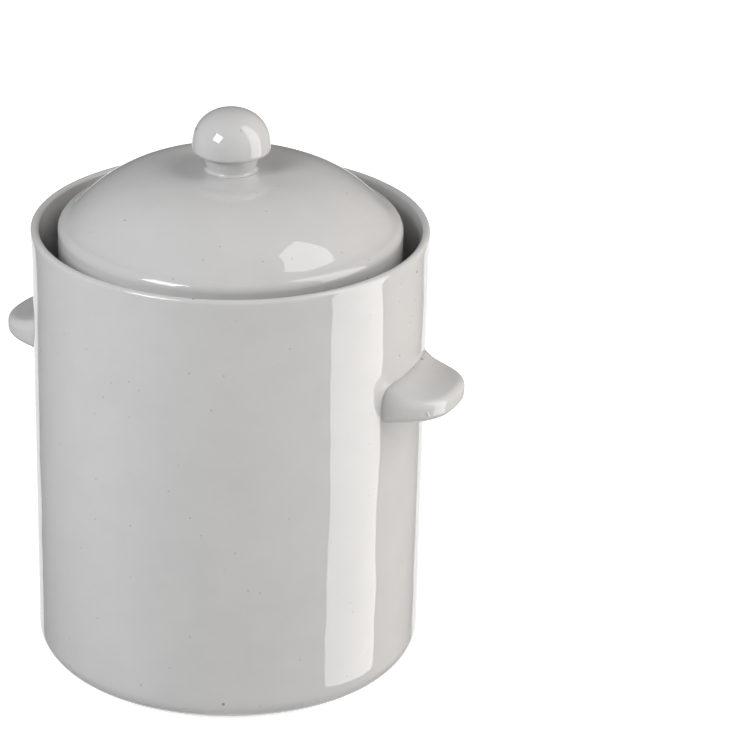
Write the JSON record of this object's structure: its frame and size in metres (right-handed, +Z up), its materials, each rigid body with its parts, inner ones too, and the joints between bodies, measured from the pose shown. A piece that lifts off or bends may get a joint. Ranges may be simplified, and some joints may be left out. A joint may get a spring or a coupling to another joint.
{
  "type": "water seal pickle jar",
  "caption": "Straight stoneware fermenting crock with lug handles, a water channel inside the rim, a domed knobbed lid standing in it, and half-moon weights.",
  "frame": {"origin": "middle of the flat foot that the jar stands on", "axes": "+Z up along the jar's axis, X across the jar beside its two handles, +Y towards the back"},
  "size_m": [0.2498, 0.201, 0.293],
  "materials": {
    "glaze_grey": "smooth glossy light warm grey glaze with fine specks",
    "glaze_inside": "glossy grey glaze, a little darker, in the channel and on the collar",
    "bare_stoneware": "bare fired clay, dull and slightly rough"
  },
  "bodies": {
    "crock": {"crock_body": "glaze_grey", "water_channel": "glaze_inside", "handle_left": "glaze_grey", "handle_right": "glaze_grey"},
    "lid": {"lid": "glaze_grey", "lid_knob": "glaze_grey"},
    "weight_left": {"weight_left": "bare_stoneware"},
    "weight_right": {"weight_right": "bare_stoneware"}
  },
  "joints": [
    {"name": "lid_lift", "type": "slide", "parent": "crock", "child": "lid", "axis": [0, 0, 1], "range_m": [0, 0.12]},
    {"name": "weight_left_rise", "type": "slide", "parent": "crock", "child": "weight_left", "axis": [0, 0, 1], "range_m": [0, 0.15]},
    {"name": "weight_right_rise", "type": "slide", "parent": "crock", "child": "weight_right", "axis": [0, 0, 1], "range_m": [0, 0.15]}
  ]
}
